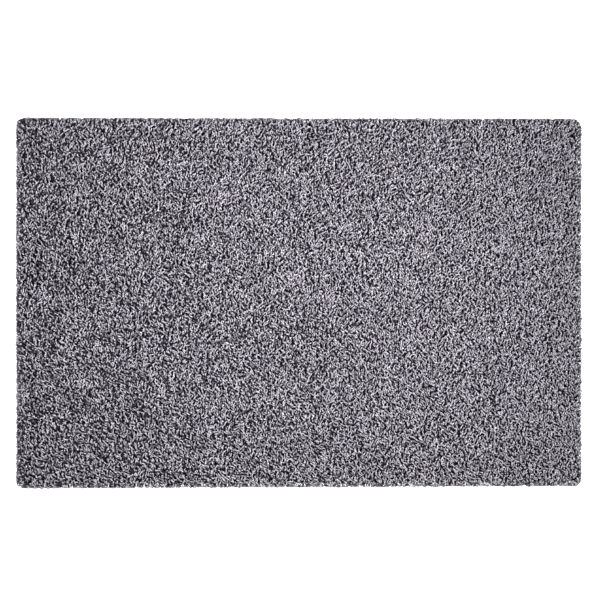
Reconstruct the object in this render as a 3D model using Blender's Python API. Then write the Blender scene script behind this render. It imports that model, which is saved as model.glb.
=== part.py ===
"""Shag rug: one flat slab of cut pile, lumpy on top, with short locks of yarn fused to its rim.

Metres, +Z up. X runs along the rug's long side and Y along its short side. The origin is the middle of the
underside, so the rug lies on z = 0.
"""

import math
from typing import NamedTuple

import bmesh
import bpy
import numpy as np
from mathutils import Vector, noise


class Corner(NamedTuple):
    """A corner of the rim line: its sides of X and Y, the rug's half width there, and its radius."""

    x_side: int
    y_side: int
    half_width: float
    radius: float


class Ring(NamedTuple):
    """A ring of points round the rug: how far it lies inside the rim line, and its height."""

    inset: float
    height: float


class LockSection(NamedTuple):
    """A section of a lock: its share of the way to the tip, its shares of the root's size, and its height."""

    along: float
    width: float
    thickness: float
    height: float


# The rim line, from lock tip to lock tip. The left end is a little wider than the right one.
LENGTH = 1.168
CORNERS = (
    Corner(x_side=-1, y_side=-1, half_width=0.3834, radius=0.018),
    Corner(x_side=1, y_side=-1, half_width=0.3784, radius=0.012),
    Corner(x_side=1, y_side=1, half_width=0.3811, radius=0.021),
    Corner(x_side=-1, y_side=1, half_width=0.3834, radius=0.014),
)

# The pile's top: clumps of tufts on a grid of about 16 mm, over broad, shallow swells.
CLUMPS_ALONG = 70
CLUMPS_ACROSS = 46
PILE_HEIGHT = 0.0225
CLUMP_RISE = 0.0042
CLUMP_WANDER = 0.0030
SWELL_RISE = 0.0013
SWELL_SPAN = 0.110
SHOULDER_DROP = 0.0045
SHOULDER_SPAN = 0.035

# The rim, from the edge of the top down to the floor. The locks grow from the band between the two
# middle rings.
TOP_EDGE_INSET = 0.0145
UPPER_ROOT = Ring(inset=0.0100, height=0.0160)
LOWER_ROOT = Ring(inset=0.0100, height=0.0045)
HEM = Ring(inset=0.0125, height=0.0)

# The locks. Their tips reach the rim line to within TIP_SPREAD, found in REACH_STEPS, and fan out round
# a corner over FAN_SPAN.
LOCK_BELLY = LockSection(along=0.50, width=0.84, thickness=0.92, height=0.0102)
LOCK_TIP = LockSection(along=1.00, width=0.50, thickness=0.48, height=0.0068)
TIP_SPREAD = 0.0024
TIP_SWAY = 0.0025
TIP_LIFT = 0.0025
FAN_SPAN = 0.045
REACH_STEPS = 12

YARN_GREY = (0.190, 0.180, 0.208, 1.0)
YARN_ROUGHNESS = 0.92
CREASE_ANGLE = math.radians(50)
SEED = 46


def clear_scene():
    """Removes whatever objects the file opened with."""
    for obj in list(bpy.data.objects):
        bpy.data.objects.remove(obj, do_unlink=True)


def corner_near(x, y):
    """The corner of the quarter of the rug that holds the point."""
    x_side = 1 if x >= 0 else -1
    y_side = 1 if y >= 0 else -1
    return next(c for c in CORNERS if (c.x_side, c.y_side) == (x_side, y_side))


def half_width(x, y_side):
    """The distance from the middle line to the rim line at x, on the side of Y given."""
    left, right = sorted(c for c in CORNERS if c.y_side == y_side)
    share = 0.5 + x / LENGTH
    return left.half_width + share * (right.half_width - left.half_width)


def edge_distances(x, y):
    """How far the point lies inside the nearer end and inside the nearer side of the rug."""
    return LENGTH / 2 - abs(x), half_width(x, 1 if y >= 0 else -1) - abs(y)


def inset_of(x, y):
    """How far the point lies inside the rim line, with its rounded corners."""
    from_end, from_side = edge_distances(x, y)
    radius = corner_near(x, y).radius
    if from_end < radius and from_side < radius:
        return radius - math.hypot(radius - from_end, radius - from_side)
    return min(from_end, from_side)


def plan_point(u, v, inset):
    """Maps u and v, from -1 to 1, onto the rug's plan, drawn in by the inset, with the corners rounded."""
    x = u * (LENGTH / 2 - inset)
    front, back = inset - half_width(x, -1), half_width(x, 1) - inset
    y = front + (v + 1) / 2 * (back - front)
    from_end, from_side = edge_distances(x, y)
    corner = corner_near(x, y)
    arc = corner.radius - inset
    out_x, out_y = corner.radius - from_end, corner.radius - from_side
    if arc > 0 and min(out_x, out_y) > 0 and math.hypot(out_x, out_y) > arc:
        pull = 1 - arc / math.hypot(out_x, out_y)
        x -= corner.x_side * out_x * pull
        y -= corner.y_side * out_y * pull
    return x, y


def top_height(x, y, inset, clump):
    """The pile's height at a point: the swells, the clump's own rise, and the drop towards the rim."""
    swell = SWELL_RISE * noise.noise(Vector((x, y, 0)) / SWELL_SPAN)
    near_rim = max(0.0, 1 - inset / SHOULDER_SPAN)
    return PILE_HEIGHT + swell + clump * CLUMP_RISE - SHOULDER_DROP * near_rim**2


def shape_top(mesh, rng):
    """Places the grid of the top, given in u and v, on the plan and raises its clumps."""
    for vert in mesh.verts:
        x, y = plan_point(vert.co.x, vert.co.y, TOP_EDGE_INSET)
        clump, *wander = rng.uniform(-1, 1, 3)
        if not vert.is_boundary:
            x += wander[0] * CLUMP_WANDER
            y += wander[1] * CLUMP_WANDER
        vert.co = x, y, top_height(x, y, inset_of(x, y), clump)


def extrude_ring(mesh, plan, ring):
    """Extrudes the open edge down to a ring. plan holds the u and v of each point of the open edge.

    Returns the plan of the new edge, and the faces of the band between.
    """
    edges = [e for e in mesh.edges if e.is_boundary]
    made = bmesh.ops.extrude_edge_only(mesh, edges=edges)["geom"]
    below = {}
    for vert in (g for g in made if isinstance(g, bmesh.types.BMVert)):
        above = next(e.other_vert(vert) for e in vert.link_edges if e.other_vert(vert) in plan)
        below[vert] = plan[above]
        vert.co = (*plan_point(*plan[above], ring.inset), ring.height)
    return below, [g for g in made if isinstance(g, bmesh.types.BMFace)]


def way_round(face):
    """The direction of the face from the middle of the rug, which puts the rim's faces in order."""
    centre = face.calc_center_median()
    return math.atan2(centre.y, centre.x)


def heading_at(x, y):
    """The way a lock points: straight out from the edge, and fanned out near a corner."""
    from_end, from_side = edge_distances(x, y)
    along = max(0.0, 1 - from_end / FAN_SPAN) * math.copysign(1, x)
    across = max(0.0, 1 - from_side / FAN_SPAN) * math.copysign(1, y)
    return Vector((along, across, 0)).normalized()


def reach_to_rim(root, heading, short_of):
    """The distance along the heading at which the point lies short_of inside the rim line."""
    reach = 0.0
    for _ in range(REACH_STEPS):
        point = root + heading * reach
        reach += inset_of(point.x, point.y) - short_of
    return reach


def grow_lock(mesh, face, rng):
    """Extrudes one face of the rim into a lock: a belly, then a blunt tip that droops towards the floor."""
    root = face.calc_center_median()
    heading = heading_at(root.x, root.y)
    aside = heading.cross(Vector((0, 0, 1)))
    short_of = TIP_SPREAD * rng.uniform(0, 1)
    sway, lift = TIP_SWAY * rng.uniform(-1, 1), TIP_LIFT * rng.uniform(-1, 1)
    shape = [((v.co - root).dot(aside), v.co.z - root.z) for v in face.verts]
    tip_sides = [sway + across * LOCK_TIP.width for across, _ in shape]
    reach = min(reach_to_rim(root + aside * side, heading, short_of) for side in tip_sides)
    for section in (LOCK_BELLY, LOCK_TIP):
        bend = section.along**2
        centre = root + heading * reach * section.along + aside * sway * bend
        centre.z = section.height + lift * bend
        (face,) = bmesh.ops.extrude_discrete_faces(mesh, faces=[face])["faces"]
        for vert, (across, up) in zip(face.verts, shape):
            vert.co = centre + aside * across * section.width
            vert.co.z += up * section.thickness


def build_rug_mesh():
    """The slab: a lumpy top, the rim's rings, a flat underside, and a lock on each face of the root band."""
    rng = np.random.default_rng(SEED)
    mesh = bmesh.new()
    bmesh.ops.create_grid(mesh, x_segments=CLUMPS_ALONG, y_segments=CLUMPS_ACROSS, size=1.0)
    plan = {v: (v.co.x, v.co.y) for v in mesh.verts if v.is_boundary}
    shape_top(mesh, rng)
    plan, _ = extrude_ring(mesh, plan, UPPER_ROOT)
    plan, roots = extrude_ring(mesh, plan, LOWER_ROOT)
    extrude_ring(mesh, plan, HEM)
    bmesh.ops.edgeloop_fill(mesh, edges=[e for e in mesh.edges if e.is_boundary])
    for face in sorted(roots, key=way_round):
        grow_lock(mesh, face, rng)
    bmesh.ops.recalc_face_normals(mesh, faces=mesh.faces)
    return mesh


def yarn_material():
    """Matt yarn of the rug's one colour."""
    material = bpy.data.materials.new("pile_yarn")
    material.use_nodes = True
    surface = material.node_tree.nodes["Principled BSDF"]
    surface.inputs["Base Color"].default_value = YARN_GREY
    surface.inputs["Roughness"].default_value = YARN_ROUGHNESS
    surface.inputs["Metallic"].default_value = 0.0
    return material


def main():
    """Builds the rug as one object in its own collection."""
    clear_scene()
    collection = bpy.data.collections.new("shag_rug")
    bpy.context.scene.collection.children.link(collection)
    mesh = build_rug_mesh()
    data = bpy.data.meshes.new("shag_rug")
    mesh.to_mesh(data)
    mesh.free()
    data.materials.append(yarn_material())
    data.shade_smooth()
    data.set_sharp_from_angle(angle=CREASE_ANGLE)
    collection.objects.link(bpy.data.objects.new("shag_rug", data))


main()
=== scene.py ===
"""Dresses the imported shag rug: the yarn of its pile and of its rim, its packed roots, and its woven ground.

Metres throughout, +Z up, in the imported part's frame. X runs along the rug, Y across it, and the underside
is z = 0. Shapes are whole numpy arrays: yarn is a small section carried along thousands of curved paths at
once, and the roots and the ground are slabs over the rug's plan.
"""

import logging
import math
from dataclasses import dataclass, field, replace
from enum import Enum

import bpy
import numpy as np
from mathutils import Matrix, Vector


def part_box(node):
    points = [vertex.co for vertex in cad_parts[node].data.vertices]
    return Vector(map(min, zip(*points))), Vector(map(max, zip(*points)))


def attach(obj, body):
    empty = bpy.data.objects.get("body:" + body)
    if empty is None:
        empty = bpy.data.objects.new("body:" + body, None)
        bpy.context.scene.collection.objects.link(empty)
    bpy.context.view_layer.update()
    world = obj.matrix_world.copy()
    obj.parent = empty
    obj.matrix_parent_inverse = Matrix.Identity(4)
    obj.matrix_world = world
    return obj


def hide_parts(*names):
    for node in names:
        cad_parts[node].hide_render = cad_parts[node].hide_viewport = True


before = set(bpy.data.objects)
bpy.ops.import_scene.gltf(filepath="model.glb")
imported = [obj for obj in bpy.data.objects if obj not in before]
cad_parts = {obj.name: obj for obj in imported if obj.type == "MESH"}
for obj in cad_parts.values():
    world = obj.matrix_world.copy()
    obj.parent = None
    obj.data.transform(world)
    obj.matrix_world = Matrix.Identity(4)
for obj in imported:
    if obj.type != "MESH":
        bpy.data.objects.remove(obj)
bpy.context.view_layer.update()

LOG = logging.getLogger("shag_rug")
NODE = "shag_rug"
BODY = "root"

# The photograph's side, and the rug's middle and length in it, in pixels.
PHOTO_SIDE = 600
RUG_MIDDLE_PX = (299.05, 303.07)
RUG_LENGTH_PX = 563.8

# The meshes' maps and values.
YARN_MAP = "yarn"
BAKE_MAP = "OFBake"
# DEPTH holds each point's depth in the pile, which sets the painted shade in the yarn's colour.
DEPTH = "depth"
TONE = "tone"

# A yarn's turn at a share of the way from root to tip is share ^ TURN_POWER - TURN_MIDDLE of its whole turn.
TURN_POWER = 1.3
TURN_MIDDLE = 0.5

# A yarn's thickness at shares of the way from root to tip: it narrows at its ends.
TAPER_ALONG = (0.0, 0.1, 0.9, 1.0)
TAPER = (0.7, 1.0, 1.0, 0.7)

# A yarn is slid to its reach in a few rounds, by a station well clear of its root.
REACH_ROUNDS = 2
FIRST_REACHING = 2

# Staggered rows lie this share of the pitch apart.
ROW_SHARE = math.sqrt(0.75)

MATT_SPECULAR = 0.05
TINY = 1e-12

# The yarns' arrays that have a row for each yarn.
PER_YARN = ("path", "across", "thickness", "depth", "tone")

Array = np.ndarray
Rng = np.random.Generator
Object = bpy.types.Object
Material = bpy.types.Material
Tree = bpy.types.NodeTree
Socket = bpy.types.NodeSocket
Point = tuple[float, float, float]
Colour = tuple[float, float, float]
Pair = tuple[float, float]


def smooth_step(value: Array) -> Array:
    """Eases a value, held between 0 and 1, to 3 v^2 - 2 v^3."""
    held = np.clip(value, 0.0, 1.0)
    return held * held * (3.0 - 2.0 * held)


def stacked(*parts: Array) -> Array:
    """Sets parts side by side on a new last axis."""
    return np.stack(parts, axis=-1)


def unit(vectors: Array) -> Array:
    """Scales the vectors on the last axis to a length of 1."""
    return vectors / np.maximum(np.linalg.norm(vectors, axis=-1, keepdims=True), TINY)


@dataclass(frozen=True)
class Scatter:
    """Numbers spread by the bell curve, and held between a lowest and a highest one."""

    mean: float
    spread: float
    low: float
    high: float

    def draw(self, rng: Rng, count: int) -> Array:
        """Draws the numbers."""
        return rng.normal(self.mean, self.spread, count).clip(self.low, self.high)


YARN_TONES = Scatter(mean=0.0, spread=1.0, low=-2.0, high=2.0)


@dataclass(frozen=True)
class Corner:
    """A corner of the rim line: the rug's half width there, and the corner's radius."""

    half_width: float
    radius: float


@dataclass(frozen=True)
class RimLine:
    """The pile's outline on the floor: four straight sides, a little wider at the left, and rounded corners.

    front, on the side of -Y, and back hold their left and their right corner.
    """

    half_length: float
    front: tuple[Corner, Corner]
    back: tuple[Corner, Corner]

    def _at_corners(self, name: str) -> Array:
        """Tables one field of the corners: two rows, front and back, of left and right."""
        return np.array([[getattr(c, name) for c in side] for side in (self.front, self.back)])

    def half_width(self, x: Array, back: Array) -> Array:
        """Distance from the middle line to the rim line, which runs straight from corner to corner.

        Args:
            x: Places along the rug.
            back: Which of them are on the back side.

        Returns:
            The distance for each place.
        """
        left, right = np.moveaxis(self._at_corners("half_width")[back.astype(int)], -1, 0)
        return left + (right - left) * (0.5 + x / (2.0 * self.half_length))

    def inset(self, x: Array, y: Array) -> Array:
        """How far points lie inside the rim line, by the signed distance to a rounded rectangle.

        With a and b the corner's radius less the distances to the end and to the side, it is
        radius - hypot(max(a, 0), max(b, 0)) - min(max(a, b), 0).

        Args:
            x: Places along the rug.
            y: Places across the rug.

        Returns:
            The distances, which are negative outside the rim line.
        """
        back = y >= 0.0
        radius = self._at_corners("radius")[back.astype(int), (x >= 0.0).astype(int)]
        a = radius - (self.half_length - np.abs(x))
        b = radius - (self.half_width(x, back) - np.abs(y))
        return radius - np.hypot(np.maximum(a, 0.0), np.maximum(b, 0.0)) - np.minimum(np.maximum(a, b), 0.0)

    def outward(self, x: Array, y: Array, reach: float = 0.001) -> Array:
        """The way out of the rug: the inset's downward slope, by central differences.

        Args:
            x: Places along the rug.
            y: Places across the rug.
            reach: Half the span of a difference.

        Returns:
            Unit vectors in the plan.
        """
        slope_x = self.inset(x - reach, y) - self.inset(x + reach, y)
        slope_y = self.inset(x, y - reach) - self.inset(x, y + reach)
        return unit(stacked(slope_x, slope_y))

    def plan(self, u: Array, v: Array, inset: float) -> tuple[Array, Array]:
        """Lays u and v, from -1 to 1, over the plan drawn in by the inset, and rounds its corners.

        Args:
            u: The share of the half length.
            v: The share from the front side, -1, to the back side, 1.
            inset: How far the edge lies inside the rim line.

        Returns:
            The places along and across the rug.
        """
        x = u * (self.half_length - inset)
        front = inset - self.half_width(x, np.zeros(x.shape, bool))
        back = self.half_width(x, np.ones(x.shape, bool)) - inset
        y = front + (v + 1.0) / 2.0 * (back - front)
        over = np.maximum(inset - self.inset(x, y), 0.0)[..., None] * self.outward(x, y)
        return x - over[..., 0], y - over[..., 1]


@dataclass(frozen=True)
class Swell:
    """A smooth field over the plan: crossed waves, sin(k . (x, y) + phase), added up to a spread of 1.

    Each wave has its own heading and phase, and a length between two multiples of the span.
    """

    span: float
    seed: int
    waves: int = 14
    lengths: Pair = (0.7, 1.5)

    def at(self, x: Array, y: Array) -> Array:
        """The field over places.

        Args:
            x: Places along the rug.
            y: Places across the rug.

        Returns:
            Numbers about 0.
        """
        rng = np.random.default_rng(self.seed)
        heading = rng.uniform(0.0, math.tau, self.waves)
        number = math.tau / (self.span * rng.uniform(*self.lengths, self.waves))
        phase = rng.uniform(0.0, math.tau, self.waves)
        travel = x[..., None] * np.cos(heading) + y[..., None] * np.sin(heading)
        return np.sin(travel * number + phase).sum(-1) / math.sqrt(self.waves / 2.0)


@dataclass
class Surface:
    """A mesh as arrays: points, the corners of all faces in turn, and how many corners each face has.

    A map holds a place for each corner, and a value a number for each point.
    """

    points: Array
    corners: Array
    counts: Array
    maps: dict[str, Array] = field(default_factory=dict)
    values: dict[str, Array] = field(default_factory=dict)

    def to_object(self, name: str, material: Material) -> Object:
        """Makes the object, shaded smooth, at the origin.

        Args:
            name: The piece's name.
            material: Its finish.

        Returns:
            The new object, linked to the scene.
        """
        mesh = bpy.data.meshes.new(name)
        mesh.vertices.add(len(self.points))
        mesh.vertices.foreach_set("co", self.points.astype(np.float32).ravel())
        mesh.loops.add(len(self.corners))
        mesh.loops.foreach_set("vertex_index", self.corners.astype(np.int32))
        mesh.polygons.add(len(self.counts))
        mesh.polygons.foreach_set("loop_start", (self.counts.cumsum() - self.counts).astype(np.int32))
        mesh.update(calc_edges=True)
        for map_name, places in self.maps.items():
            layer = mesh.uv_layers.new(name=map_name)
            layer.data.foreach_set("uv", places.astype(np.float32).ravel())
        for value_name, numbers in self.values.items():
            attribute = mesh.attributes.new(value_name, "FLOAT", "POINT")
            attribute.data.foreach_set("value", numbers.astype(np.float32).ravel())
        mesh.shade_smooth()
        mesh.materials.append(material)
        made = bpy.data.objects.new(name, mesh)
        bpy.context.scene.collection.objects.link(made)
        return made


def slab_over(x: Array, y: Array, top: Array | float, bottom: float) -> Surface:
    """Closes a slab over a grid of places: its top, its bottom turned over, and a wall round them.

    Args:
        x: The places along the rug, growing with the row.
        y: The places across the rug, growing with the column.
        top: The top's height at each place.
        bottom: The bottom's height.

    Returns:
        The closed surface, with its faces pointing out.
    """
    index = np.arange(x.size).reshape(x.shape)
    cells = stacked(index[:-1, :-1], index[1:, :-1], index[1:, 1:], index[:-1, 1:]).reshape(-1, 4)
    rim = np.concatenate([index[:-1, 0], index[-1, :-1], index[:0:-1, -1], index[0, :0:-1]])
    ahead = np.roll(rim, -1)
    wall = stacked(rim, rim + x.size, ahead + x.size, ahead)
    layers = [stacked(x, y, np.broadcast_to(z, x.shape)).reshape(-1, 3) for z in (top, bottom)]
    faces = np.concatenate([cells, cells[:, ::-1] + x.size, wall])
    return Surface(np.concatenate(layers), faces.ravel(), np.full(len(faces), 4))


@dataclass(frozen=True)
class Section:
    """The yarn's section, and how its faces lie on the bake map.

    Each yarn has a square cell there. Its walls fill the lower part, with its two ends above them.
    """

    sides: int = 3
    margin: float = 0.05
    end_height: float = 0.13
    end_radius: float = 0.13 / 3.0
    root_end_at: float = 0.75
    tip_end_at: float = 0.25

    def faces(self, stations: int) -> tuple[Array, Array]:
        """The faces of one yarn, by its own point numbers: walls from root to tip, root end and tip end.

        Args:
            stations: How many stations its path has.

        Returns:
            The faces' corners in turn, and how many each face has.
        """
        station, side = np.meshgrid(np.arange(stations - 1), np.arange(self.sides), indexing="ij")
        here, ahead = station * self.sides + side, station * self.sides + (side + 1) % self.sides
        walls = stacked(here, ahead, ahead + self.sides, here + self.sides)
        end = np.arange(self.sides)
        corners = np.concatenate([walls.ravel(), end[::-1], end + (stations - 1) * self.sides])
        return corners, np.repeat((4, self.sides), (here.size, 2))

    def places(self, along: Array) -> Array:
        """The faces' corners in the yarn's cell: round the section along u, and root to tip along v.

        Args:
            along: Each station's share of the way from root to tip.

        Returns:
            A place for each corner that faces gives.
        """
        room = 1.0 - 2.0 * self.margin
        station, side = np.meshgrid(np.arange(len(along) - 1), np.arange(self.sides), indexing="ij")
        near, far = along[station], along[station + 1]
        left, right = side / self.sides, (side + 1) / self.sides
        u = stacked(left, right, right, left)
        v = stacked(near, near, far, far) * (1.0 - self.end_height)
        angle = math.tau * np.arange(self.sides) / self.sides
        end = stacked(np.cos(angle), np.sin(angle)) * self.end_radius
        middle = 1.0 - self.end_height / 2.0
        root, tip = end[::-1] + (self.root_end_at, middle), end + (self.tip_end_at, middle)
        return self.margin + room * np.concatenate([stacked(u, v).reshape(-1, 2), root, tip])


@dataclass(frozen=True)
class Habit:
    """How one kind of yarn end stands. A pair is a lowest and a highest value; angles are in degrees."""

    share: float
    length: Pair
    root_lean: Pair
    tip_lean: Pair
    turn: Pair


class YarnHabit(Enum):
    """The kinds of yarn end in the pile: laid over, curled round, and standing with the cut end up."""

    LAID = Habit(share=0.67, length=(0.0105, 0.0140), root_lean=(0, 25), tip_lean=(65, 100), turn=(0, 28))
    CURLED = Habit(share=0.07, length=(0.0125, 0.0160), root_lean=(0, 25), tip_lean=(80, 118), turn=(60, 110))
    UPRIGHT = Habit(share=0.26, length=(0.0092, 0.0125), root_lean=(5, 30), tip_lean=(10, 50), turn=(0, 60))

    @classmethod
    def draw(cls, rng: Rng, count: int) -> dict[str, Array]:
        """Draws a habit for each yarn, and its sizes evenly between the habit's two values.

        Args:
            rng: The source of the draws.
            count: How many yarns.

        Returns:
            The sizes by name, with angles in radians and turns to either side.
        """
        habits = [kind.value for kind in cls]
        share = np.array([habit.share for habit in habits])
        chosen = rng.choice(len(habits), size=count, p=share / share.sum())
        drawn = {}
        for name in ("length", "root_lean", "tip_lean", "turn"):
            low, high = np.array([getattr(habit, name) for habit in habits])[chosen].T
            even = rng.uniform(low, high)
            drawn[name] = even if name == "length" else np.radians(even)
        drawn["turn"] *= rng.choice((-1.0, 1.0), count)
        return drawn


@dataclass
class Yarns:
    """Many yarn ends at once. Arrays have a row for each yarn and a column for each station of its path."""

    path: Array
    across: Array
    thickness: Array
    along: Array
    depth: Array
    tone: Array

    @classmethod
    def grow(
        cls, roots: Array, heading: Array, sizes: dict[str, Array], along: Array, thickness: float
    ) -> "Yarns":
        """Grows a path from each root, by adding up its direction over its length.

        The direction is (cos h sin l, sin h sin l, cos l). The lean l opens evenly from the root's to the
        tip's. The heading h turns faster towards the tip, to either side of the yarn's own heading, and is
        thrown off by the yarn's kinks.

        Args:
            roots: The roots' points.
            heading: The heading of each yarn's outer half, in radians from +X.
            sizes: What YarnHabit.draw gives, and kinks: how far the heading is off at each step.
            along: The stations' shares of the way from root to tip.
            thickness: The yarn's thickness.

        Returns:
            The yarns, with no depth or tone yet.
        """
        share = (along[1:] + along[:-1]) / 2.0
        lean = sizes["root_lean"][:, None] + (sizes["tip_lean"] - sizes["root_lean"])[:, None] * share
        turn = sizes["turn"][:, None] * (share**TURN_POWER - TURN_MIDDLE)
        turned = heading[:, None] + turn + sizes["kinks"]
        level = np.sin(lean)
        ahead = stacked(np.cos(turned) * level, np.sin(turned) * level, np.cos(lean))
        step = sizes["length"][:, None, None] * np.diff(along)[None, :, None] * ahead
        gone = np.concatenate([np.zeros_like(step[:, :1]), np.cumsum(step, axis=1)], axis=1)
        turned = np.concatenate([turned[:, :1], turned], axis=1)
        across = stacked(-np.sin(turned), np.cos(turned), np.zeros_like(turned))
        count = len(roots)
        narrowed = np.tile(thickness * np.interp(along, TAPER_ALONG, TAPER), (count, 1))
        return cls(roots[:, None, :] + gone, across, narrowed, along, np.zeros(turned.shape), np.zeros(count))

    def centre_over(self, spots: Array, share: float) -> None:
        """Moves each path level, so that the mean of its part beyond the share of the way is over its spot.

        Args:
            spots: A place in the plan for each yarn.
            share: The share of the way from root to tip.
        """
        outer = self.path[:, self.along >= share, :2].mean(axis=1)
        self.path[..., :2] += (spots - outer)[:, None, :]

    def reach_rim(self, rim: RimLine, inset: Array, hold_only: bool) -> None:
        """Slides each path along the rim's outward way, until its furthest point lies as far in as it has to.

        The slide is eased, from nothing at the root to its whole at the furthest point.

        Args:
            rim: The rim line.
            inset: How far inside the rim line each yarn's furthest point has to lie.
            hold_only: Whether yarns that stay short of it are left as they are.
        """
        rows = np.arange(len(self.path))
        for _ in range(REACH_ROUNDS):
            lies = rim.inset(self.path[..., 0], self.path[..., 1]) - self.thickness / 2.0
            worst = np.maximum(lies[:, 1:].argmin(axis=1) + 1, FIRST_REACHING)
            short = lies[rows, worst] - inset
            if hold_only:
                short = np.minimum(short, 0.0)
            ends = self.path[rows, worst]
            slide = rim.outward(ends[:, 0], ends[:, 1]) * short[:, None]
            share = smooth_step(self.along[None, :] / self.along[worst][:, None])
            self.path[..., :2] += share[..., None] * slide[:, None, :]

    def rest_on_floor(self, clearance: float) -> None:
        """Lifts every point so that the yarn clears the floor."""
        self.path[..., 2] = np.maximum(self.path[..., 2], self.thickness / 2.0 + clearance)

    def chosen(self, rows: Array) -> "Yarns":
        """The yarns of the rows given."""
        return replace(self, **{name: getattr(self, name)[rows] for name in PER_YARN})

    def surface(self, section: Section) -> Surface:
        """Carries the section along every path, square to it.

        With T the path's direction and S the sideways vector made square to it, corner k of n is at
        path + thickness / 2 * (cos(360 k / n) S + sin(360 k / n) T x S).

        Args:
            section: The yarn's section.

        Returns:
            The closed surface, with a map along the yarn, the bake map, and each point's depth and tone.
        """
        count, stations = self.thickness.shape
        ahead = unit(np.gradient(self.path, axis=1))
        above = unit(np.cross(ahead, self.across))
        sideways = np.cross(above, ahead)
        angle = math.tau * np.arange(section.sides) / section.sides
        spoke = np.cos(angle)[:, None] * sideways[:, :, None, :]
        spoke += np.sin(angle)[:, None] * above[:, :, None, :]
        points = self.path[:, :, None, :] + self.thickness[:, :, None, None] / 2.0 * spoke
        corners, counts = section.faces(stations)
        places = section.places(self.along)
        run = np.linalg.norm(np.diff(self.path, axis=1), axis=-1).cumsum(axis=1)
        run = np.concatenate([np.zeros((count, 1)), run], axis=1)[:, corners // section.sides]
        yarn_map = stacked(np.broadcast_to(places[:, 0], run.shape), run)
        cells = math.ceil(math.sqrt(count))
        cell = stacked(np.arange(count) % cells, np.arange(count) // cells)[:, None, :]
        depth = np.repeat(self.depth, section.sides)
        tone = np.repeat(self.tone, stations * section.sides)
        return Surface(
            points.reshape(-1, 3),
            (corners + np.arange(count)[:, None] * stations * section.sides).ravel(),
            np.tile(counts, count),
            {YARN_MAP: yarn_map, BAKE_MAP: (places + cell) / cells},
            {DEPTH: depth, TONE: tone},
        )


@dataclass(frozen=True)
class Nap:
    """How the pile lies over the plan, patch by patch: which way, how high, how far its painted shade reaches
    and how light.
    """

    patch: Swell = Swell(span=0.060, seed=5)
    drift: Swell = Swell(span=0.160, seed=6)
    hump: Swell = Swell(span=0.055, seed=7)
    shade: Swell = Swell(span=0.110, seed=8)
    main_heading: float = math.radians(92)
    fan: float = -0.8
    patch_turn: float = 0.16
    drift_turn: float = 0.1
    hump_rise: float = 0.0004
    # Rate at which the painted shade in the pile thins towards +X.
    painted_shade_thinning_rate: float = 0.32
    shade_tone: float = 0.25

    def heading(self, x: Array, y: Array) -> Array:
        """The way the pile lies, in radians from +X: the main heading, fanned across the rug, and swells."""
        fanned = self.main_heading + self.fan * y
        return fanned + self.patch_turn * self.patch.at(x, y) + self.drift_turn * self.drift.at(x, y)

    def rise(self, x: Array, y: Array) -> Array:
        """How far the pile's top stands over its mean height."""
        return self.hump_rise * self.hump.at(x, y)

    def painted_shade_thinning(self, x: Array) -> Array:
        """How much the painted shade in the pile thins, next to the middle's 1: exp(rate * x), lighter
        towards +X and darker towards -X.
        """
        return np.exp(self.painted_shade_thinning_rate * x)

    def tone(self, x: Array, y: Array) -> Array:
        """How much lighter the yarn is."""
        return self.shade_tone * self.shade.at(x, y)


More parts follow.
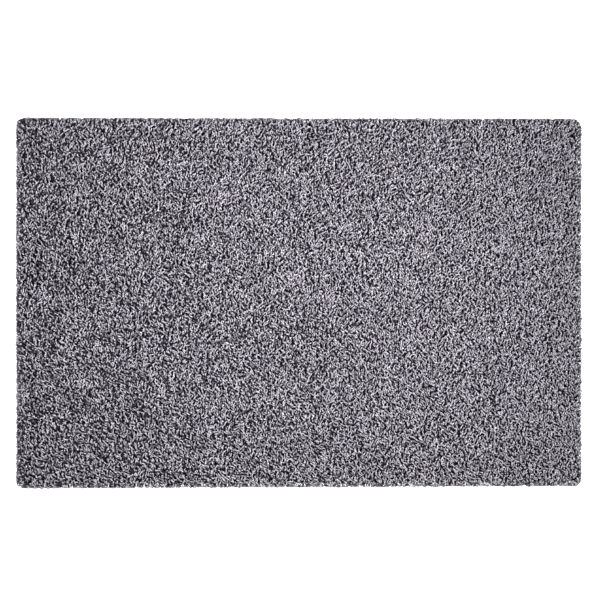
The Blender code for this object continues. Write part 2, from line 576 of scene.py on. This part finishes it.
@dataclass(frozen=True)
class Pile:
    """The yarn ends of the rug's face, planted in staggered, uneven rows and made as strips along it."""

    rim: RimLine
    nap: Nap
    section: Section = Section()
    pitch: float = 0.0045
    jitter: float = 0.45
    edge_inset: float = 0.0008
    edge_band: float = 0.0120
    edge_nap: float = 0.25
    # Painted shade over the edge band, and painted light over the open band.
    edge_shade: float = 0.08
    edge_gain: float = 0.36
    open_band: float = 0.0045
    open_depth: float = 0.55
    root_height: float = 0.0130
    root_lift: float = 0.0021
    # Where the painted shade in the pile begins, and how fast it deepens.
    skin_height: float = 0.0240
    skin_depth: float = 0.0086
    thickness: float = 0.0029
    thickness_shares: Pair = (0.86, 1.12)
    heading_spread: float = math.radians(45)
    kink: float = math.radians(9)
    outer_share: float = 0.45
    tip_inset: Scatter = Scatter(mean=-0.0003, spread=0.0004, low=-0.001, high=0.003)
    along: tuple[float, ...] = (0.0, 0.40, 0.70, 1.0)
    strips: int = 6
    seed: int = 11

    def spots(self, rng: Rng) -> Array:
        """Spreads the places where yarns show: staggered rows, moved by part of the pitch, inside the edge.

        Args:
            rng: The source of the moves.

        Returns:
            The places in the plan.
        """
        half_width = max(corner.half_width for corner in (*self.rim.front, *self.rim.back))
        lines = np.arange(-self.rim.half_length, self.rim.half_length, self.pitch * ROW_SHARE)
        steps = np.arange(-half_width, half_width, self.pitch / ROW_SHARE)
        x, y = np.meshgrid(lines, steps, indexing="ij")
        y = y + (np.arange(len(lines)) % 2)[:, None] * self.pitch / 2.0
        spots = stacked(x.ravel(), y.ravel())
        spots += rng.uniform(-self.jitter, self.jitter, spots.shape) * self.pitch
        return spots[self.rim.inset(*spots.T) > self.edge_inset]

    def heading(self, spots: Array, rng: Rng) -> Array:
        """The way each yarn lies: the nap's, give or take the spread, and turned outwards over the edge band.

        Args:
            spots: The places in the plan.
            rng: The source of the draws.

        Returns:
            The headings in radians from +X.
        """
        x, y = spots.T
        swing = np.sin(rng.uniform(-math.pi, math.pi, len(spots)))
        nap = self.nap.heading(x, y) + self.heading_spread * swing
        lying = stacked(np.cos(nap), np.sin(nap))
        inner = smooth_step((self.rim.inset(x, y) - self.edge_inset) / self.edge_band)[:, None]
        lying = lying * (self.edge_nap + inner) + self.rim.outward(x, y) * (1.0 - inner)
        return np.arctan2(lying[:, 1], lying[:, 0])

    def depth(self, path: Array, rise: Array) -> Array:
        """How deep points lie, as a number that sets the painted shade in the yarn's colour: max(skin height
        + rise - z, 0) / skin depth, divided by the nap's thinning of the painted shade.

        Over the edge band it is increased by the edge's gain and shade, which paints the edge darker, and
        over the open band, where light comes in from the side, it is held down to the open depth, which
        paints the outer yarn lighter.

        Args:
            path: The yarns' paths.
            rise: How far the pile stands over its mean height at each yarn.

        Returns:
            A number for each point: 0 at the skin, and more further down, where the painted shade is darker.
        """
        inset = self.rim.inset(path[..., 0], path[..., 1])
        edge = 1.0 - smooth_step(inset / self.edge_band)
        below = (self.skin_height + rise[:, None] - path[..., 2]) / self.skin_depth
        below = np.maximum(below / self.nap.painted_shade_thinning(path[..., 0]), 0.0)
        # Painted shade: darker over the edge band.
        below = below * (1.0 + self.edge_gain * edge) + self.edge_shade * edge
        # Painted light: lighter over the open band, where light comes in from the side.
        return np.minimum(below, self.open_depth + smooth_step(inset / self.open_band))

    def yarns(self) -> Yarns:
        """Grows the pile's yarns, and holds those near the edge inside the rim line.

        Returns:
            All of the pile's yarns.
        """
        rng = np.random.default_rng(self.seed)
        spots = self.spots(rng)
        count = len(spots)
        rise = self.nap.rise(*spots.T)
        height = self.root_height + rise + self.root_lift * rng.uniform(-1.0, 1.0, count)
        roots = np.column_stack([spots, height])
        heading = self.heading(spots, rng)
        sizes = YarnHabit.draw(rng, count)
        sizes["kinks"] = rng.normal(0.0, self.kink, (count, len(self.along) - 1))
        yarns = Yarns.grow(roots, heading, sizes, np.array(self.along), self.thickness)
        yarns.thickness *= rng.uniform(*self.thickness_shares, count)[:, None]
        yarns.centre_over(spots, self.outer_share)
        yarns.reach_rim(self.rim, self.tip_inset.draw(rng, count), hold_only=True)
        yarns.depth = self.depth(yarns.path, rise)
        yarns.tone = YARN_TONES.draw(rng, count) + self.nap.tone(*spots.T)
        return yarns

    def build(self, finish: Material) -> list[Object]:
        """Makes the strips.

        Args:
            finish: Their material.

        Returns:
            One object for each strip, from the front to the back.
        """
        yarns = self.yarns()
        strips = np.array_split(np.argsort(yarns.path[:, 0, 1]), self.strips)
        return [
            yarns.chosen(rows).surface(self.section).to_object(f"pile_strip_{number}", finish)
            for number, rows in enumerate(strips, start=1)
        ]


@dataclass(frozen=True)
class RimRow:
    """A row of yarn round the rim: its roots' height, and its yarns' lean at root and tip, in degrees."""

    height: float
    root_lean: Pair
    tip_lean: Pair


@dataclass(frozen=True)
class RimYarn:
    """The yarn ends that stand out round the rim in rows and lie over one another down to the floor."""

    rim: RimLine
    section: Section = Section()
    rows: tuple[RimRow, ...] = (
        RimRow(height=0.0035, root_lean=(70, 92), tip_lean=(70, 112)),
        RimRow(height=0.0078, root_lean=(58, 85), tip_lean=(80, 125)),
        RimRow(height=0.0120, root_lean=(48, 80), tip_lean=(85, 130)),
        RimRow(height=0.0155, root_lean=(45, 78), tip_lean=(90, 135)),
    )
    root_inset: float = 0.0105
    root_lift: float = 0.0012
    pitch: float = 0.0037
    jitter: float = 0.35
    corner_span: float = 0.024
    corner_extra: int = 14
    length: Pair = (0.012, 0.018)
    turn: Pair = (70, 160)
    turn_ahead: float = 0.4
    heading_spread: float = math.radians(25)
    kink: float = math.radians(12)
    thickness: float = 0.0030
    tip_inset: Scatter = Scatter(mean=-0.0007, spread=0.0012, low=-0.002, high=0.003)
    floor_clearance: float = 0.0004
    # The painted shade of the rim yarn: its depth at the rim line, its gain inwards, its spread from yarn to
    # yarn, and its least.
    rim_depth: float = 0.38
    depth_gain: float = 1.2
    depth_spread: float = 0.32
    least_depth: float = 0.10
    along: tuple[float, ...] = (0.0, 0.36, 0.68, 1.0)
    seed: int = 12

    def roots(self, height: float, rng: Rng) -> Array:
        """Plants a row of roots along the inset rim line: uneven steps of about the pitch, closer at corners.

        The row follows the square edge of u and v by the share of the way round, and the plan rounds it.

        Args:
            height: The row's height.
            rng: The source of the unevenness.

        Returns:
            The roots' points.
        """
        ends, sides = 2.0 * self.rim.half_length, 2.0 * self.rim.front[0].half_width
        count = int(2.0 * (ends + sides) / self.pitch)
        corners = np.cumsum([0.0, ends, sides, ends, sides])
        travel = (np.arange(count) + rng.uniform(-self.jitter, self.jitter, count)) / count * corners[-1]
        extra = corners[1:, None] + rng.uniform(-self.corner_span, self.corner_span, (4, self.corner_extra))
        travel = np.concatenate([travel, extra.ravel() % corners[-1]])
        u = np.interp(travel, corners, (-1.0, 1.0, 1.0, -1.0, -1.0))
        v = np.interp(travel, corners, (-1.0, -1.0, 1.0, 1.0, -1.0))
        x, y = self.rim.plan(u, v, self.root_inset)
        return stacked(x, y, height + rng.uniform(-self.root_lift, self.root_lift, len(travel)))

    def row(self, row: RimRow, rng: Rng) -> Yarns:
        """Grows one row of yarns, out to the rim line give or take their own insets.

        The depth, which sets the painted shade in the yarn's colour, is rim depth + gain * inset / root
        inset, off by the yarn's own part of the spread, and no less than the least.

        Args:
            row: The row's height and leans.
            rng: The source of the draws.

        Returns:
            The row's yarns.
        """
        roots = self.roots(row.height, rng)
        count = len(roots)
        out = self.rim.outward(roots[:, 0], roots[:, 1])
        turn = np.radians(rng.uniform(*self.turn, count)) * rng.choice((-1.0, 1.0), count)
        heading = np.arctan2(out[:, 1], out[:, 0]) + self.turn_ahead * turn
        heading += rng.normal(0.0, self.heading_spread, count)
        sizes = {
            "length": rng.uniform(*self.length, count),
            "root_lean": np.radians(rng.uniform(*row.root_lean, count)),
            "tip_lean": np.radians(rng.uniform(*row.tip_lean, count)),
            "turn": turn,
            "kinks": rng.normal(0.0, self.kink, (count, len(self.along) - 1)),
        }
        yarns = Yarns.grow(roots, heading, sizes, np.array(self.along), self.thickness)
        yarns.reach_rim(self.rim, self.tip_inset.draw(rng, count), hold_only=False)
        yarns.rest_on_floor(self.floor_clearance)
        # Painted shade: darker further in from the rim line, and more on some yarns than others.
        inset = self.rim.inset(yarns.path[..., 0], yarns.path[..., 1])
        depth = self.rim_depth + self.depth_gain * inset / self.root_inset
        depth += rng.uniform(-self.depth_spread, self.depth_spread, count)[:, None]
        yarns.depth = np.maximum(depth, self.least_depth)
        yarns.tone = YARN_TONES.draw(rng, count)
        return yarns

    def build(self, finish: Material) -> Object:
        """Makes the rim's yarn as one object.

        Args:
            finish: Its material.

        Returns:
            The object.
        """
        rng = np.random.default_rng(self.seed)
        rows = [self.row(row, rng) for row in self.rows]
        joined = {name: np.concatenate([getattr(row, name) for row in rows]) for name in PER_YARN}
        return Yarns(along=rows[0].along, **joined).surface(self.section).to_object("rim_yarn", finish)


@dataclass(frozen=True)
class PackedRoots:
    """The foot of the pile, where the yarns stand packed: a lumpy slab, dark and out of reach of light."""

    rim: RimLine
    nap: Nap
    inset: float = 0.0058
    foot: float = 0.0016
    height: float = 0.0145
    edge_share: float = 0.4
    shoulder_span: float = 0.034
    lump: float = 0.0014
    pitch: float = 0.017
    seed: int = 13

    def build(self, finish: Material) -> Object:
        """Makes the slab. Its top is height + rise(x, y) + lump * noise, drawn down at the rim.

        Args:
            finish: Its material.

        Returns:
            The object.
        """
        rng = np.random.default_rng(self.seed)
        sides = 2.0 * self.rim.half_length, 2.0 * self.rim.front[0].half_width
        steps = [np.linspace(-1.0, 1.0, int(side / self.pitch)) for side in sides]
        u, v = np.meshgrid(*steps, indexing="ij")
        x, y = self.rim.plan(u, v, self.inset)
        shoulder = smooth_step((self.rim.inset(x, y) - self.inset) / self.shoulder_span)
        rise = self.nap.rise(x, y) + self.lump * rng.uniform(-1.0, 1.0, x.shape)
        top = self.height * (self.edge_share + (1.0 - self.edge_share) * shoulder) + rise * shoulder
        return slab_over(x, y, top, self.foot).to_object("packed_roots", finish)


@dataclass(frozen=True)
class GroundCloth:
    """The woven cloth that the yarn is tufted through: a thin sheet flat on the floor, out of sight."""

    rim: RimLine
    inset: float = 0.0120
    thickness: float = 0.0013
    pitch: float = 0.030
    crease: float = math.radians(50)

    def flat_size(self) -> Pair:
        """The cloth's width across the rug and its length along it."""
        widths = [corner.half_width for corner in (*self.rim.front, *self.rim.back)]
        return sum(widths) / 2.0 - 2.0 * self.inset, 2.0 * (self.rim.half_length - self.inset)

    def build(self, finish: Material) -> Object:
        """Makes the cloth: a level slab over the plan, drawn in by the inset.

        u and v are sin(90 t) of even steps t, closer towards the corners.

        Args:
            finish: Its material.

        Returns:
            The object.
        """
        width, length = self.flat_size()
        steps = [np.linspace(-1.0, 1.0, int(side / self.pitch)) for side in (length, width)]
        u, v = np.meshgrid(*(np.sin(step * math.pi / 2.0) for step in steps), indexing="ij")
        x, y = self.rim.plan(u, v, self.inset)
        made = slab_over(x, y, self.thickness, 0.0).to_object("ground_cloth", finish)
        made.data.set_sharp_from_angle(angle=self.crease)
        return made


class Graph:
    """A node tree being put together. Most calls add a node, feed its inputs and hand back its output."""

    def __init__(self, tree: Tree) -> None:
        """Starts on an empty or a new tree."""
        self.tree = tree

    def feed(self, socket: Socket, value: object) -> None:
        """Links a socket or sets its value.

        Args:
            socket: The socket to feed.
            value: Another socket to link it to, or its value.
        """
        if isinstance(value, Socket):
            self.tree.links.new(value, socket)
        else:
            socket.default_value = value

    def node(self, kind: str, inputs: dict[str | int, object], **settings: object) -> bpy.types.Node:
        """Adds a node.

        Args:
            kind: The node's type.
            inputs: What to feed its sockets, by name or number.
            **settings: The node's own settings.

        Returns:
            The node.
        """
        made = self.tree.nodes.new(kind)
        for name, value in settings.items():
            setattr(made, name, value)
        for key, value in inputs.items():
            self.feed(made.inputs[key], value)
        return made

    def math(self, operation: str, *values: object) -> Socket:
        """A sum, product or other operation on numbers."""
        return self.node("ShaderNodeMath", dict(enumerate(values)), operation=operation).outputs[0]

    def ramp(self, value: object, low: object, high: object, ends: Pair) -> Socket:
        """Takes low..high to the ends given, eased, and held at both."""
        inputs = {"Value": value, "From Min": low, "From Max": high, "To Min": ends[0], "To Max": ends[1]}
        return self.node("ShaderNodeMapRange", inputs, interpolation_type="SMOOTHSTEP").outputs["Result"]

    def tint(self, colour: object, factor: object) -> Socket:
        """The colour times a number."""
        inputs = {0: colour, "Scale": factor}
        return self.node("ShaderNodeVectorMath", inputs, operation="SCALE").outputs["Vector"]

    def blend(self, factor: object, colours: tuple[Colour, Colour]) -> Socket:
        """The first colour at 0, turning into the second at 1."""
        inputs = {"Factor": factor, 6: (*colours[0], 1.0), 7: (*colours[1], 1.0)}
        return self.node("ShaderNodeMix", inputs, data_type="RGBA").outputs[2]

    def bump(self, height: object, strength: float, distance: float) -> Socket:
        """The normal of a surface that the height raises."""
        inputs = {"Height": height, "Strength": strength, "Distance": distance}
        return self.node("ShaderNodeBump", inputs).outputs["Normal"]

    def group(self, tree: Tree, *values: float) -> Socket:
        """Places a node group with its own values, in the order of its inputs."""
        return self.node("ShaderNodeGroup", dict(enumerate(values)), node_tree=tree).outputs[0]


def new_group(name: str, inputs: tuple[str, ...], output: str) -> tuple[Graph, dict, Socket]:
    """Starts a shader node group of plain numbers.

    Args:
        name: The group's name.
        inputs: The names of its inputs.
        output: The name of its output.

    Returns:
        The graph inside it, its input sockets by name, and its output socket.
    """
    tree = bpy.data.node_groups.new(name, "ShaderNodeTree")
    for label in inputs:
        tree.interface.new_socket(label, in_out="INPUT", socket_type="NodeSocketFloat")
    tree.interface.new_socket(output, in_out="OUTPUT", socket_type="NodeSocketFloat")
    entry = tree.nodes.new("NodeGroupInput")
    leave = tree.nodes.new("NodeGroupOutput")
    return Graph(tree), {label: entry.outputs[label] for label in inputs}, leave.inputs[output]


class Effects:
    """The effects that several materials share, each a node group that is built once."""

    def __init__(self) -> None:
        """Builds the groups."""
        self.twist = self._ply_twist()
        self.grain = self._fibre_grain()
        self.shadow = self._pile_shadow()

    @staticmethod
    def _ply_twist() -> Tree:
        """Spiral ridges round a plied yarn: cos(plies * u + v / pitch) of the yarn map, u round, v along it.

        Returns:
            The group, which gives the ridges as a height from 0 to 1.
        """
        graph, entry, leave = new_group("ply_twist", ("Plies", "Pitch"), "Ridge")
        place = graph.node("ShaderNodeUVMap", {}, uv_map=YARN_MAP).outputs["UV"]
        split = graph.node("ShaderNodeSeparateXYZ", {0: place})
        turns = graph.math("MULTIPLY", split.outputs["X"], entry["Plies"])
        run = graph.math("DIVIDE", split.outputs["Y"], entry["Pitch"])
        wave = graph.math("COSINE", graph.math("MULTIPLY", graph.math("ADD", turns, run), math.tau))
        graph.feed(leave, graph.math("MULTIPLY_ADD", wave, 0.5, 0.5))
        return graph.tree

    @staticmethod
    def _fibre_grain() -> Tree:
        """Fine noise over the object's own coordinates, as loose fibre catches light.

        Returns:
            The group, which gives the grain as numbers about 0, within half of Strength each way.
        """
        graph, entry, leave = new_group("fibre_grain", ("Scale", "Strength"), "Grain")
        place = graph.node("ShaderNodeTexCoord", {}).outputs["Object"]
        fine = graph.node("ShaderNodeTexNoise", {"Vector": place, "Scale": entry["Scale"], "Detail": 2.0})
        centred = graph.math("SUBTRACT", fine.outputs["Fac"], 0.5)
        graph.feed(leave, graph.math("MULTIPLY", centred, entry["Strength"]))
        return graph.tree

    @staticmethod
    def _pile_shadow() -> Tree:
        """How much light the yarn keeps at its depth in the pile: all above Skin, and none below Root.

        Returns:
            The group, which gives the share of light.
        """
        graph, entry, leave = new_group("pile_shadow", ("Skin", "Root"), "Light")
        depth = graph.node("ShaderNodeAttribute", {}, attribute_name=DEPTH).outputs["Fac"]
        graph.feed(leave, graph.ramp(depth, entry["Skin"], entry["Root"], (1.0, 0.0)))
        return graph.tree


class MattMaterial(Graph):
    """A matt material being put together on its Principled BSDF."""

    def __init__(self, name: str) -> None:
        """Starts the material.

        Args:
            name: Its name.
        """
        self.material = bpy.data.materials.new(name)
        self.material.use_nodes = True
        super().__init__(self.material.node_tree)
        self.dress({"Specular IOR Level": MATT_SPECULAR})

    def dress(self, inputs: dict[str, object]) -> Material:
        """Feeds the shader.

        Args:
            inputs: What to feed its sockets, by name.

        Returns:
            The material.
        """
        shader = self.tree.nodes["Principled BSDF"]
        for name, value in inputs.items():
            self.feed(shader.inputs[name], value)
        return self.material


@dataclass(frozen=True)
class YarnFinish:
    """Matt, tightly plied yarn of one cool grey, with painted shade in the grooves of its plies and down in
    the pile.

    grain is a scale and a strength, and bump a strength and a distance. For the grooves, a pair gives the
    ridge's height below which the yarn is painted darker as shade, and the share of light at its bottom. Down
    in the pile the colour turns, by each point's depth, to a near-black painted shade colour.
    """

    name: str
    colour: Colour = (0.282, 0.270, 0.296)
    # Near-black painted shade colour that the yarn turns to down in the pile.
    painted_shade_colour: Colour = (0.0030, 0.0012, 0.0066)
    skin: float = 0.24
    root: float = 0.88
    tone_spread: float = 0.05
    plies: float = 2.0
    pitch: float = 0.0056
    groove_shade: Pair = (0.7, 0.22)
    grain: Pair = (300.0, 1.4)
    roughness: float = 0.88
    rough_grain: float = 0.15
    bump: Pair = (0.6, 0.0006)
    sheen: float = 0.03
    sheen_roughness: float = 0.5

    def material(self, effects: Effects) -> Material:
        """Makes the material.

        Args:
            effects: The shared node groups.

        Returns:
            The material.
        """
        graph = MattMaterial(self.name)
        shadow = graph.group(effects.shadow, self.skin, self.root)
        ridge = graph.group(effects.twist, self.plies, self.pitch)
        grain = graph.group(effects.grain, *self.grain)
        tone = graph.node("ShaderNodeAttribute", {}, attribute_name=TONE).outputs["Fac"]
        light = graph.math("ADD", graph.math("MULTIPLY_ADD", tone, self.tone_spread, 1.0), grain)
        # Painted shade: darker where the ply ridges dip into grooves.
        groove_shade = graph.ramp(ridge, 0.0, self.groove_shade[0], (self.groove_shade[1], 1.0))
        # Painted shade: the lit grey turns to near black as points lie deeper in the pile.
        pile = graph.blend(shadow, (self.painted_shade_colour, self.colour))
        return graph.dress({
            "Base Color": graph.tint(pile, graph.math("MULTIPLY", light, groove_shade)),
            "Roughness": graph.math("MULTIPLY_ADD", grain, self.rough_grain, self.roughness),
            "Normal": graph.bump(graph.math("ADD", ridge, grain), *self.bump),
            "Sheen Weight": self.sheen,
            "Sheen Roughness": self.sheen_roughness,
        })


@dataclass(frozen=True)
class RootsFinish:
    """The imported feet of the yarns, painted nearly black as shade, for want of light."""

    name: str = "packed_roots"
    # Painted shade: near-black colours, mottled by the grain.
    colours: tuple[Colour, Colour] = ((0.0008, 0.0006, 0.0012), (0.0040, 0.0034, 0.0054))
    grain: Pair = (260.0, 2.4)
    roughness: float = 0.95
    bump: Pair = (1.0, 0.002)

    def material(self, effects: Effects) -> Material:
        """Makes the material.

        Args:
            effects: The shared node groups.

        Returns:
            The material.
        """
        graph = MattMaterial(self.name)
        grain = graph.group(effects.grain, *self.grain)
        return graph.dress({
            "Base Color": graph.blend(graph.math("ADD", grain, 0.5), self.colours),
            "Roughness": self.roughness,
            "Normal": graph.bump(grain, *self.bump),
        })


@dataclass(frozen=True)
class ClothFinish:
    """Plain woven ground cloth in the yarn's grey, a little coarser and lighter."""

    name: str = "ground_cloth"
    colours: tuple[Colour, Colour] = ((0.20, 0.19, 0.21), (0.46, 0.44, 0.47))
    thread: float = 0.0018
    thread_shade: Pair = (0.1, 0.8)
    grain: Pair = (700.0, 0.5)
    roughness: float = 0.9
    bump: Pair = (0.8, 0.0005)

    def weave(self, graph: Graph) -> Socket:
        """A plain weave over the object's X and Y: |sin(180 x / thread)| or |sin(180 y / thread)|.

        The first thread is on top where the product of both sines is above 0, and the second elsewhere.

        Args:
            graph: The material's nodes.

        Returns:
            The threads' height from 0 to 1.
        """
        place = graph.node("ShaderNodeTexCoord", {}).outputs["Object"]
        split = graph.node("ShaderNodeSeparateXYZ", {0: place})
        threads = [graph.math("DIVIDE", split.outputs[axis], self.thread) for axis in "XY"]
        sines = [graph.math("SINE", graph.math("MULTIPLY", thread, math.pi)) for thread in threads]
        warp, weft = (graph.math("ABSOLUTE", sine) for sine in sines)
        over = graph.math("GREATER_THAN", graph.math("MULTIPLY", *sines), 0.0)
        under = graph.math("SUBTRACT", 1.0, over)
        return graph.math("ADD", graph.math("MULTIPLY", warp, over), graph.math("MULTIPLY", weft, under))

    def material(self, effects: Effects) -> Material:
        """Makes the material.

        Args:
            effects: The shared node groups.

        Returns:
            The material.
        """
        graph = MattMaterial(self.name)
        weave = self.weave(graph)
        grain = graph.group(effects.grain, *self.grain)
        # Painted shade: the threads turn to the darker grey where the weave dips between them.
        threads = graph.blend(graph.ramp(weave, *self.thread_shade, (0.0, 1.0)), self.colours)
        return graph.dress({
            "Base Color": graph.tint(threads, graph.math("ADD", grain, 1.0)),
            "Roughness": self.roughness,
            "Normal": graph.bump(graph.math("ADD", weave, grain), *self.bump),
        })


@dataclass(frozen=True)
class SoftBox:
    """A long studio light: place and target, length and width, power in watts, and spread."""

    name: str
    place: Point
    target: Point
    length: float
    width: float
    power: float
    spread: float

    def build(self) -> None:
        """Makes the light."""
        data = bpy.data.lights.new(self.name, "AREA")
        data.shape = "RECTANGLE"
        data.size = self.length
        data.size_y = self.width
        data.energy = self.power
        data.spread = self.spread
        light = bpy.data.objects.new(self.name, data)
        light.location = self.place
        light.rotation_euler = (Vector(self.target) - Vector(self.place)).to_track_quat("-Z", "Y").to_euler()
        bpy.context.scene.collection.objects.link(light)


@dataclass(frozen=True)
class Studio:
    """The plain floor, soft light from the right with a faint fill, and the camera straight above.

    The camera alone sees the floor and the sky white.
    """

    rug_length: float
    rim_height: float = 0.010
    lens: float = 85.0
    sensor: float = 36.0
    floor_side: float = 80.0
    floor_drop: float = 0.0003
    floor_grey: float = 0.70
    floor_glow: float = 1.00
    floor_roughness: float = 0.9
    sky: Colour = (0.58, 0.53, 0.65)
    white: Colour = (1.0, 1.0, 1.0)
    lights: tuple[SoftBox, ...] = (
        SoftBox("key", place=(1.95, 0.22, 2.45), target=(-0.30, 0.0, 0.0), length=1.8, width=0.6,
                power=76.5, spread=math.radians(43)),
        SoftBox("fill", place=(0.80, 0.0, 2.40), target=(0.62, 0.0, 0.0), length=1.6, width=0.5,
                power=1.0, spread=math.radians(34)),
    )

    def camera(self) -> None:
        """Sets the camera over the rug, so far up that the rug has its length in the photograph."""
        per_pixel = self.rug_length / RUG_LENGTH_PX
        view_width = PHOTO_SIDE * per_pixel
        height = self.rim_height + view_width * self.lens / self.sensor
        data = bpy.data.cameras.new("camera")
        data.lens = self.lens
        data.sensor_width = self.sensor
        made = bpy.data.objects.new("camera", data)
        right, down = (PHOTO_SIDE / 2.0 - middle for middle in RUG_MIDDLE_PX)
        made.location = (right * per_pixel, -down * per_pixel, height)
        bpy.context.scene.collection.objects.link(made)
        bpy.context.scene.camera = made

    def floor(self) -> None:
        """Lays the floor just under the rug."""
        graph = MattMaterial("studio_floor")
        seen = graph.node("ShaderNodeLightPath", {}).outputs["Is Camera Ray"]
        material = graph.dress({
            "Base Color": (self.floor_grey, self.floor_grey, self.floor_grey, 1.0),
            "Roughness": self.floor_roughness,
            "Emission Color": (*self.white, 1.0),
            "Emission Strength": graph.math("MULTIPLY", seen, self.floor_glow),
        })
        corners = self.floor_side / 2.0 * np.array([[-1, -1], [1, -1], [1, 1], [-1, 1]])
        points = np.column_stack([corners, np.full(4, -self.floor_drop)])
        made = Surface(points, np.arange(4), np.array([4])).to_object("studio_floor", material)

    def build(self) -> None:
        """Makes the whole studio."""
        self.camera()
        self.floor()
        for light in self.lights:
            light.build()
        world = bpy.data.worlds.new("studio")
        world.use_nodes = True
        graph = Graph(world.node_tree)
        seen = graph.node("ShaderNodeLightPath", {}).outputs["Is Camera Ray"]
        background = world.node_tree.nodes["Background"]
        graph.feed(background.inputs["Color"], graph.blend(seen, (self.sky, self.white)))
        bpy.context.scene.world = world
        bpy.context.scene.view_settings.view_transform = "Standard"


def rug_rim() -> RimLine:
    """The rim line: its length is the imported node's, and its corners are the real ones.

    Returns:
        The rim line.
    """
    low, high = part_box(NODE)
    return RimLine(
        half_length=(high.x - low.x) / 2.0,
        front=(Corner(half_width=0.3834, radius=0.018), Corner(half_width=0.3784, radius=0.012)),
        back=(Corner(half_width=0.3834, radius=0.014), Corner(half_width=0.3811, radius=0.021)),
    )


def main() -> None:
    """Builds the studio and every piece of the rug, sets each piece on the rug's body, and reports it."""
    logging.basicConfig(level=logging.INFO, format="%(name)s: %(message)s")
    rim = rug_rim()
    nap = Nap()
    effects = Effects()
    Studio(rug_length=2.0 * rim.half_length).build()
    yarn = YarnFinish("pile_yarn").material(effects)
    # The rim yarn's painted shade starts at its surface and reaches full dark deeper than the pile's.
    edge = YarnFinish("rim_yarn", skin=0.0, root=1.1).material(effects)
    cloth = GroundCloth(rim).build(ClothFinish().material(effects))
    dressed = [
        *Pile(rim, nap).build(yarn),
        RimYarn(rim).build(edge),
        PackedRoots(rim, nap).build(RootsFinish().material(effects)),
    ]
    for piece in (*dressed, cloth):
        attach(piece, BODY)
        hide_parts(NODE)
        mesh = piece.data
        LOG.info("%s: %d triangles", piece.name, len(mesh.loops) - 2 * len(mesh.polygons))


if __name__ == "__main__":
    main()
